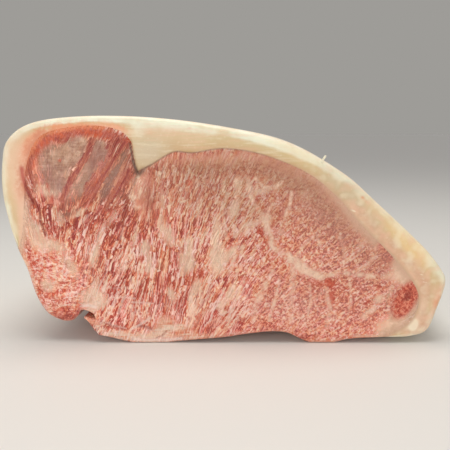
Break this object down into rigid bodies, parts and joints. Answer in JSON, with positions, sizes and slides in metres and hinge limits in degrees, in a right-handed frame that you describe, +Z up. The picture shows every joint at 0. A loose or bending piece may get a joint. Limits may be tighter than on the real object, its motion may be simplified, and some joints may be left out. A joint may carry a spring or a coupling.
{
  "type": "raw striploin block",
  "caption": "Block of raw, finely marbled striploin with a cut face, a small lobe and notch at its lower left, and a fat cap over the top and both sides.",
  "frame": {"origin": "centre of the box round the block, on the plane that it rests on", "axes": "+X along the length of the cut face to its thin tail, +Z up, and the main cut face looks towards -Y"},
  "size_m": [0.2504, 0.1499, 0.1301],
  "materials": {
    "lean": "moist marbled raw meat",
    "fat": "satin raw fat"
  },
  "bodies": {
    "root": {"lean": "lean", "fat_cap": "fat"}
  },
  "joints": []
}
